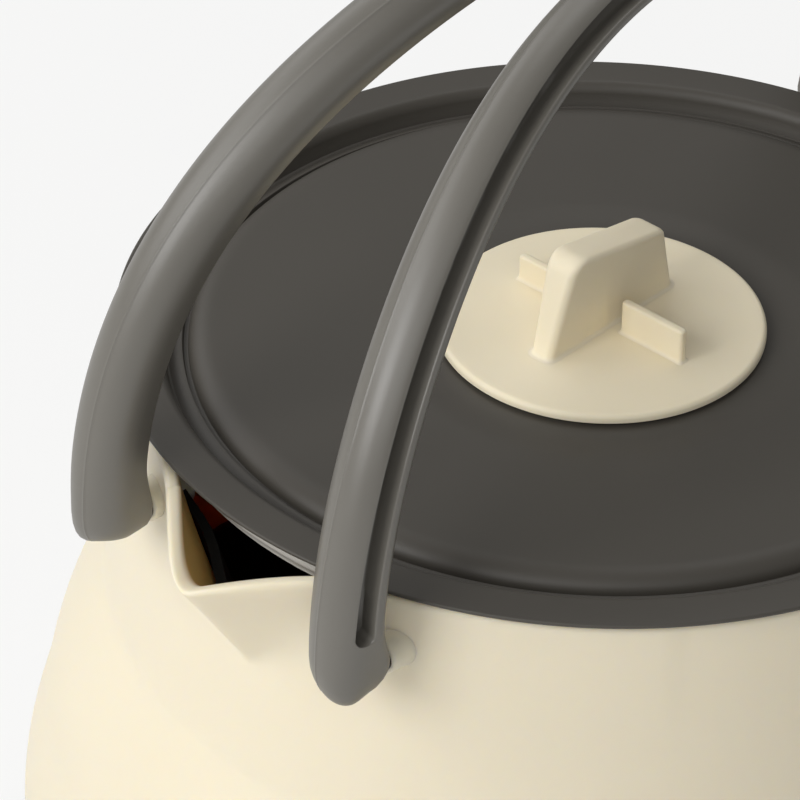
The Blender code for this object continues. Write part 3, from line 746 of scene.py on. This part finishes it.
    def stations(self) -> list[tuple[float, float]]:
        """Distances from the front foot, each with the section's scale, from foot to foot."""
        span = (math.pi - 2.0 * self.first_angle()) * self.rise
        ends = [(self.foot_round * (1.0 - math.cos(turn)), math.sin(turn))
                for turn in map(math.radians, self.cap_turns)]
        ends += [(distance, 1.0) for distance in self.foot_rows]
        ends += [(self.groove_start + self.groove_width / 2.0 * (1.0 - math.cos(turn)), 1.0)
                 for turn in map(math.radians, self.groove_turns)]
        last = ends[-1][0]
        middle = [(last + (span - 2.0 * last) * i / self.steps, 1.0)
                  for i in range(1, self.steps)]
        return ends + middle + [(span - distance, scale) for distance, scale in reversed(ends)]

    def foot_recess(self, u: float, v: float, along: float) -> float:
        """How far the foot's round end draws back at a place in the section."""
        u, v = u / (self.width / 2.0), v / (self.depth / 2.0)
        slopes = -self.foot_slant * u - self.foot_rise * v - self.foot_skew * u * v
        rounds = -self.foot_curl * v * v - self.foot_square * u * u
        return (slopes + rounds) * max(0.0, 1.0 - along / self.foot_reach)

    def with_pad(self, u: float, v: float, along: float) -> Point:
        """Swell a place of the section into the pad that the foot turns on."""
        swell = math.exp(-(((along - self.pad_place) / self.pad_length) ** 2))
        v -= self.pad_height * swell * limit(-v / (self.depth / 2.0))
        inner = limit(0.5 - v / self.depth)
        u -= self.pad_draw * swell * limit(u / (self.width / 2.0)) * inner
        return u, v

    def build(self, body: Body) -> None:
        """Wrap the bail's skin round its arch and dress it.

        Args:
            body: the body that the bail is.
        """
        stations = self.stations()
        span = stations[-1][0]
        first = self.first_angle()
        rings: list[list[Vector]] = []
        for distance, scale in stations:
            along = min(distance, span - distance)
            angle = first + distance / self.rise
            back = 1.0 if distance < span / 2.0 else -1.0
            middle, face, outward, tangent = self.frame_at(angle)
            size = (self.width - self.width_loss * math.sin(angle),
                    self.depth - self.depth_loss * math.sin(angle))
            ring = []
            for u, v in self.section(along, size):
                u, v = self.with_pad(u, v, along)
                spot = middle + (face * u + outward * v) * scale
                spot += tangent * back * self.foot_recess(u * scale, v * scale, along)
                ring.append(Vector((spot.x * self.side.value, spot.y, spot.z)))
            rings.append(ring)
        name = f"bail_{self.side.name.lower()}"
        piece = wrap_rings(f"{name}_skin", rings, self.crease)
        dress(piece, BAIL_PLASTIC, body, name)


# The lid


@dataclass
class Lid:
    """The flat lid: flange, deep trough with a ledge, a disc with a dish, and its skirt."""

    top: float = 98.0
    radius: float = 65.0
    edge_round: float = 0.35
    edge_undercut: float = 0.9
    underside: float = 96.8
    crest: float = 60.0
    crest_round: Point = (-1.5, 1.9)
    valley: Point = (57.65, 94.6)
    wall_foot: Point = (58.15, 95.3)
    ledge: Point = (55.85, 95.4)
    ledge_round: float = 0.15
    ledge_power: float = 1.4
    valley_lift: Point = (0.3, 0.15)
    slot_floor: float = 94.75
    slot_draw: Point = (0.15, 0.3)
    shoulder: float = 51.6
    shoulder_size: Point = (3.4, 2.5)
    disc_top: float = 97.3
    disc_rings: Point = (12.0, 0.8)
    dish: float = 27.0
    dish_slope: float = 3.0
    dish_top: float = 96.9
    seat: float = 15.3
    disc_underside: float = 95.4
    trough_underside: float = 93.9
    skirt: float = 58.8
    skirt_wall: float = 2.0
    skirt_foot: float = 90.2
    skirt_lip: float = 0.7
    skirt_lip_height: float = 1.0
    skirt_fillet: float = 1.1
    chamfer: float = 0.2
    hollow_slant: Point = (0.6, 0.9)
    seal_outer: float = 61.5
    seal_gap: float = 0.3
    seal_draw: Point = (1.3, 1.4)
    seal_bead: Point = (1.0, 1.6)
    seal_round: float = 0.8
    crease: float = 32.0
    steps: int = 256

    @staticmethod
    def rounded_edge(start: Point, size: Point, turns: range) -> list[Point]:
        """Part of an ellipse that falls outwards from a place, inwards if its width is minus."""
        angles = [math.radians(turn) for turn in turns]
        return [(start[0] + size[0] * math.sin(turn), start[1] - size[1] * (1.0 - math.cos(turn)))
                for turn in angles]

    def trough(self) -> list[Point]:
        """Radii and heights of the trough, from the disc's shoulder out to the flange."""
        edge, level = self.ledge
        low, bottom = self.valley
        gap, margin = self.slot_draw
        points = self.rounded_edge((self.shoulder, self.disc_top), self.shoulder_size,
                                   range(0, 91, 9))
        points += [(points[-1][0] + gap, self.slot_floor), (edge - margin, self.slot_floor)]
        points += arc((edge, level - self.ledge_round), self.ledge_round, 170.0, 90.0, 4)
        points += [(between((edge, low), share),
                    between((level, bottom), share ** self.ledge_power))
                   for share in (0.25, 0.5, 0.75, 1.0)]
        points += [(low + self.valley_lift[0], bottom + self.valley_lift[1]), self.wall_foot]
        return points + self.rounded_edge((self.crest, self.top), self.crest_round,
                                          range(84, -1, -7))

    def profile(self) -> list[Point]:
        """Radii and heights from the seat out over the top and back underneath, closed."""
        points = [(self.seat, self.dish_top)]
        for share in (i / 12 for i in range(13)):
            points.append((self.dish + self.dish_slope * (2.0 * share - 1.0),
                           between((self.dish_top, self.disc_top), ease(share))))
        points += [(self.shoulder - draw, self.disc_top) for draw in self.disc_rings]
        points += self.trough()
        rim = self.radius - self.edge_round
        points += [(between((self.crest, rim), i / 3), self.top) for i in (1, 2)]
        points += arc((rim, self.top - self.edge_round), self.edge_round, 90.0, -20.0, 8)
        fillet, edge = self.skirt_fillet, self.chamfer
        points.append((self.radius - self.edge_undercut, self.underside))
        points += arc((self.skirt + fillet, self.underside - fillet), fillet, 90.0, 180.0, 4)
        lip, inner = self.skirt + self.skirt_lip, self.skirt - self.skirt_wall
        lip_top = self.skirt_foot + self.skirt_lip_height
        points += [(self.skirt, lip_top), (lip, lip_top), (lip, self.skirt_foot + edge),
                   (lip - edge, self.skirt_foot), (inner + edge, self.skirt_foot),
                   (inner, self.skirt_foot + edge), (inner, self.trough_underside),
                   (self.shoulder + self.hollow_slant[0], self.trough_underside),
                   (self.shoulder - self.hollow_slant[1], self.disc_underside),
                   (self.seat, self.disc_underside), points[0]]
        return points

    def build(self) -> None:
        """Turn the lid and its seal, and dress both."""
        shell = turn_profile("lid_top", self.profile(), self.steps, self.crease)
        dress(shell, LID_PLASTIC, Body.LID, "lid_shell")
        low, high = self.skirt_foot + self.seal_draw[0], self.underside - self.seal_draw[1]
        middle = (high + low) / 2.0
        inner, band = self.skirt + self.seal_gap, self.seal_outer - self.seal_bead[0]
        bead = self.seal_bead[1]
        ring = [(inner, high), (band, high), (band, middle + bead)]
        ring += arc((self.seal_outer - self.seal_round, middle), self.seal_round, 60.0, -60.0, 6)
        ring += [(band, middle - bead), (band, low), (inner, low), (inner, high)]
        dress(turn_profile("lid_wiper_seal", ring, 160), SEAL_SILICONE, Body.LID, "lid_seal")


@dataclass
class Knob:
    """The soft insert in the lid: a disc with a finned knob and two low tabs."""

    top: float = 98.5
    radius: float = 22.1
    edge_round: float = 0.7
    under: float = 97.3
    stem: float = 15.0
    stem_foot: float = 95.1
    button: float = 19.0
    button_foot: float = 93.7
    turn: float = 2.4
    flare: float = 0.6
    fin_front: Point = (12.5, 8.6)
    fin_back: Point = (12.9, 9.7)
    fin_heights: Point = (14.3, 10.9)
    fin_half: Point = (1.75, 2.6)
    fin_nose: float = 2.6
    fin_round: float = 0.8
    fin_round_back: float = 1.04
    fin_slope_ends: Point = (-0.2, 1.05)
    tab_ends: Point = (3.8, 14.3)
    tab_heights: Point = (4.95, 3.8)
    tab_half: float = 0.65
    tab_round: float = 0.35
    tab_spread: float = 0.6
    tab_taper: float = 1.5
    corners: Point = (1.1, 0.5)
    sink: float = 0.3
    foot_turns: tuple[float, ...] = (0, 30, 50, 70, 90)
    side_shares: tuple[float, ...] = (0.2, 0.35, 0.5, 0.65)
    nose_shares: tuple[float, ...] = (1.0, 0.7, 0.5)
    top_turns: tuple[float, ...] = (0, 22, 45, 66, 90)
    disc_ring: float = 0.5
    chamfers: Point = (0.1, 0.2)
    crease: float = 35.0
    steps: int = 192

    def outline(self, half: float, back: float, front: float, corner: float) -> list[Point]:
        """A rounded rectangle from above, half its width along X and from front to back."""
        corner = min(corner, half * 0.98)
        side, points = half - corner, []
        for x, y, start in ((side, back - corner, 0.0), (-side, back - corner, 90.0),
                            (-side, front + corner, 180.0), (side, front + corner, 270.0)):
            points += arc((x, y), corner, start, start + 90.0, 6)
        return points + points[:1]

    def levels(self, height: float, small: float, large: float) -> list[float]:
        """Heights of a raised part's rings, close together at its foot and round its top."""
        foot = [self.flare * (1.0 - math.cos(math.radians(turn))) for turn in self.foot_turns]
        middle = [height * share for share in self.side_shares]
        top = [height - large * share for share in self.nose_shares]
        top += [height - small * (1.0 - math.sin(math.radians(turn))) for turn in self.top_turns]
        return sorted([-self.sink, *foot, *middle, *top])

    def raised(self, name: str, rings: list[list[Vector]], middle: Vector) -> Piece:
        """Wrap a raised part's skin round its rings, from the foot up to its top's middle."""
        count = len(rings[0])
        foot_middle = sum(rings[0][:-1], Vector()) / (count - 1)
        rings = [[foot_middle] * count] + rings + [[middle] * count]
        swing = Matrix.Rotation(math.radians(self.turn), 3, "Z")
        rings = [[swing @ place for place in ring] for ring in rings]
        return wrap_rings(name, rings, self.crease)

    def make_fin(self) -> Piece:
        """The fin, which widens upwards and is higher at the spout's end."""
        high, low = self.fin_heights
        rings = []
        for level in self.levels(high, self.fin_round, self.fin_nose):
            share = max(0.0, level / high)
            spread, depth = corner_draw(level, self.flare), high - level
            half = between(self.fin_half, share) + spread - corner_draw(depth, self.fin_round)
            front = corner_draw(depth, self.fin_nose) - spread - between(self.fin_front, share)
            back = between(self.fin_back, share) + spread
            back -= corner_draw(depth, self.fin_round_back)
            ring = []
            for x, y in self.outline(half, back, front, self.corners[0] + spread):
                place = (y + self.fin_front[1]) / (self.fin_front[1] + self.fin_back[1])
                tall = between(self.fin_heights, min(self.fin_slope_ends[1],
                                                     max(self.fin_slope_ends[0], place)))
                ring.append(Vector((x, y, self.top + (level if level < 0.0 else tall * share))))
            rings.append(ring)
        middle_y = (self.fin_back[1] - self.fin_front[1]) / 2.0
        middle = Vector((0.0, middle_y, self.top + (high + low) / 2.0))
        return self.raised("fin", rings, middle)

    def make_tab(self, side: Side) -> Piece:
        """A low upright tab on one side of the fin."""
        near, far = self.tab_ends
        height = self.tab_heights[0 if side is Side.RIGHT else 1]
        rings = []
        for level in self.levels(height, self.tab_round, self.tab_round * 2.0):
            spread = self.tab_spread * corner_draw(level, self.flare)
            drawn = corner_draw(height - level, self.tab_round)
            outer = far + spread - drawn * self.tab_taper
            half = self.tab_half + spread - drawn
            ring = []
            for y, x in self.outline(half, outer, near - spread + drawn, self.corners[1]):
                ring.append(Vector((side.value * x, y, self.top + level)))
            rings.append(ring)
        middle = Vector((side.value * (near + far) / 2.0, 0.0, self.top + height))
        return self.raised("tab", rings, middle)

    def build(self) -> None:
        """Turn the disc, raise the fin and the tabs on it, and dress them as one piece."""
        rim, (small, large) = self.radius - self.edge_round, self.chamfers
        profile = [(0.0, self.top), (rim - self.disc_ring, self.top)]
        profile += arc((rim, self.top - self.edge_round), self.edge_round, 90.0, 0.0, 7)
        profile += [(self.radius, self.under + small), (self.radius - small, self.under),
                    (self.stem, self.under), (self.stem, self.stem_foot),
                    (self.button, self.stem_foot), (self.button, self.button_foot + large),
                    (self.button - large, self.button_foot), (0.0, self.button_foot)]
        disc = turn_profile("disc", profile, self.steps)
        parts = [disc, self.make_fin(), self.make_tab(Side.RIGHT), self.make_tab(Side.LEFT)]
        dress(join_pieces("pinch_knob", parts), KNOB_SILICONE, Body.LID, "lid_insert")


# The base


@dataclass
class Base:
    """The drawn pan and the band that grips the silicone's foot on it."""

    pan_radius: float = 76.7
    pan_height: float = 21.0
    pan_wall: float = 1.2
    pan_floor: float = 2.0
    pan_corner: float = 7.0
    pan_recess: float = 0.8
    foot_ring: float = 14.0
    band_inner: float = 77.0
    band_outer: float = 78.5
    band_top: float = 10.2
    band_height: float = 3.6
    band_round: float = 0.8
    chamfer: float = 0.3
    floor_radius: float = 40.0
    crease: float = 35.0
    steps: int = 192

    def build(self) -> None:
        """Turn the pan and the band, and dress both."""
        edge = self.chamfer
        inside = self.pan_radius - self.pan_wall
        inner_corner = self.pan_corner - self.pan_wall
        ring = self.pan_radius - self.pan_corner - self.foot_ring
        profile = [(0.0, self.pan_floor), (self.floor_radius, self.pan_floor)]
        profile += arc((inside - inner_corner, self.pan_floor + inner_corner), inner_corner,
                       -90.0, 0.0, 10)
        below = self.pan_height - edge
        profile += [(inside, below), (inside + edge, self.pan_height),
                    (self.pan_radius - edge, self.pan_height), (self.pan_radius, below)]
        profile += arc((self.pan_radius - self.pan_corner, self.pan_corner), self.pan_corner,
                       0.0, -90.0, 12)
        profile += [(ring + edge, 0.0), (ring - self.pan_recess * 0.5, self.pan_recess * 0.5),
                    (ring - self.pan_recess - edge, self.pan_recess), (0.0, self.pan_recess)]
        pan = turn_profile("drawn_pan", profile, self.steps, self.crease)
        dress(pan, PAN_ALUMINIUM, Body.BASE, "base_pan")
        low = self.band_top - self.band_height
        profile = [(self.band_inner, self.band_top), (self.band_outer - edge, self.band_top),
                   (self.band_outer, self.band_top - edge)]
        profile += arc((self.band_outer - self.band_round, low + self.band_round), self.band_round,
                       0.0, -90.0, 6)
        profile += [(self.band_inner, low), profile[0]]
        band = turn_profile("foot_band", profile, self.steps, self.crease)
        dress(band, BAND_STEEL, Body.BASE, "base_band")

    def finish_hidden(self) -> None:
        """Give the nodes that keep their frame shape their finishes."""
        finishes = {"rim_ring": RING_PLASTIC}
        finishes |= {f"pin_{side.name.lower()}_{end.name.lower()}": PIN_STEEL
                     for side in Side for end in End}
        for name, finish in finishes.items():
            coat(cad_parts[name], finish)
            log.info("%s keeps its frame shape", name)


# The studio


@dataclass(frozen=True)
class Softbox:
    """A soft rectangular lamp that faces the kettle."""

    name: str
    place: Triple
    power: float
    size: Point = (0.9, 0.9)
    target: Triple = (0.0, 0.0, 0.08)

    def build(self) -> None:
        """Hang the lamp."""
        lamp = bpy.data.lights.new(self.name, "AREA")
        lamp.shape = "RECTANGLE"
        lamp.size, lamp.size_y = self.size
        lamp.energy = self.power
        holder = bpy.data.objects.new(self.name, lamp)
        bpy.context.scene.collection.objects.link(holder)
        holder.location = self.place
        aim = Vector(self.target) - holder.location
        holder.rotation_euler = aim.to_track_quat("-Z", "Y").to_euler()


@dataclass
class Studio:
    """Floor, backdrop, lamps and the camera at the photograph's angle."""

    azimuth: float = 41.7
    elevation: float = 35.077
    roll: float = -2.561
    distance: float = 0.6933
    lens: float = 234.07
    aim: Triple = (200.983, 78.177, -5201.647)
    target: Triple = (0.0, 0.0, 0.098)
    sensor: float = 36.0
    clip_end: float = 50.0
    backdrop: tuple[float, ...] = (0.94, 0.94, 0.935, 1.0)
    floor_size: float = 14.0
    floor_colour: tuple[float, ...] = (0.8, 0.8, 0.79, 1.0)
    floor_glow: tuple[float, ...] = (0.975, 0.975, 0.97, 1.0)
    floor_glow_share: float = 0.8
    floor_roughness: float = 0.9
    floor_specular: float = 0.1
    ambient: float = 0.245
    lamps: tuple[Softbox, ...] = (
        Softbox("front_softbox", (-0.078, -1.355, 0.928), 13.8),
        Softbox("left_softbox", (-1.013, -0.903, 0.928), 6.2),
        Softbox("far_left_softbox", (-1.355, 0.078, 0.928), 3.6),
        Softbox("back_softbox", (-0.5, 0.561, 1.493), 4.0),
        Softbox("camera_softbox", (0.903, -1.013, 0.928), 4.2),
    )

    def build(self) -> None:
        """Set up everything that isn't the kettle."""
        self.add_world()
        self.add_floor()
        for lamp in self.lamps:
            lamp.build()
        self.add_camera()
        bpy.context.scene.view_settings.view_transform = "Standard"

    def white_ray(self, tree: Tree) -> Socket:
        """A value of 1 where the camera, gloss or glass sees the backdrop."""
        path = add_node(tree, "LightPath")
        total = path.outputs["Is Camera Ray"]
        for name in ("Is Glossy Ray", "Is Transmission Ray"):
            most = add_node(tree, "Math", total, path.outputs[name])
            most.operation = "MAXIMUM"
            total = most.outputs[0]
        return total

    def add_world(self) -> None:
        """A white backdrop that lights the kettle only softly."""
        world = bpy.data.worlds.new("studio")
        bpy.context.scene.world = world
        world.use_nodes = True
        tree = world.node_tree
        light = feed(tree.nodes["Background"], (1.0, 1.0, 1.0, 1.0), self.ambient)
        seen = add_node(tree, "Background", Color=self.backdrop)
        camera_ray = add_node(tree, "LightPath").outputs["Is Camera Ray"]
        mixed = add_node(tree, "MixShader", camera_ray, light.outputs[0], seen.outputs[0])
        feed(tree.nodes["World Output"], Surface=mixed.outputs[0])

    def add_floor(self) -> None:
        """A pale floor, which looks nearly white and keeps the kettle's shadow."""
        clear_selection()
        bpy.ops.mesh.primitive_plane_add(size=self.floor_size)
        floor = bpy.context.object
        floor.name = "studio_floor"
        material = bpy.data.materials.new("pale_floor")
        material.use_nodes = True
        tree = material.node_tree
        shader = feed(tree.nodes["Principled BSDF"], Base_Color=self.floor_colour,
                      Roughness=self.floor_roughness, Specular_IOR_Level=self.floor_specular)
        glow = add_node(tree, "Emission", Color=self.floor_glow)
        share = add_node(tree, "Math", self.white_ray(tree), self.floor_glow_share)
        share.operation = "MULTIPLY"
        mixed = add_node(tree, "MixShader", share.outputs[0], shader.outputs[0], glow.outputs[0])
        feed(tree.nodes["Material Output"], Surface=mixed.outputs[0])
        floor.data.materials.append(material)

    def add_camera(self) -> None:
        """Set the camera where the photograph was taken from."""
        azimuth, elevation = math.radians(self.azimuth), math.radians(self.elevation)
        back = Vector((math.sin(azimuth) * math.cos(elevation),
                       -math.cos(azimuth) * math.cos(elevation), math.sin(elevation)))
        right = Vector((0.0, 0.0, 1.0)).cross(back).normalized()
        straight = Matrix((right, back.cross(right), back)).transposed()
        off_centre = Vector(self.aim).normalized().rotation_difference(Vector((0.0, 0.0, -1.0)))
        roll = Matrix.Rotation(math.radians(self.roll), 3, -back)
        turned = (roll @ straight @ off_centre.to_matrix()).to_4x4()
        data = bpy.data.cameras.new("photo_camera")
        data.lens = self.lens
        data.sensor_width = self.sensor
        data.clip_end = self.clip_end
        camera = bpy.data.objects.new("photo_camera", data)
        bpy.context.scene.collection.objects.link(camera)
        place = Vector(self.target) + back * self.distance
        camera.matrix_world = Matrix.Translation(place) @ turned
        bpy.context.scene.camera = camera


def main() -> None:
    """Build the studio and the kettle's pieces."""
    logging.basicConfig(level=logging.INFO, format="%(name)s: %(message)s")
    Studio().build()
    base = Base()
    base.build()
    base.finish_hidden()
    KettleBody().build()
    for side in Side:
        for end in End:
            PivotBoss(side, end).build()
    Bail(Side.RIGHT).build(Body.RIGHT_BAIL)
    Bail(Side.LEFT).build(Body.LEFT_BAIL)
    Lid().build()
    Knob().build()


if __name__ == "__main__":
    main()
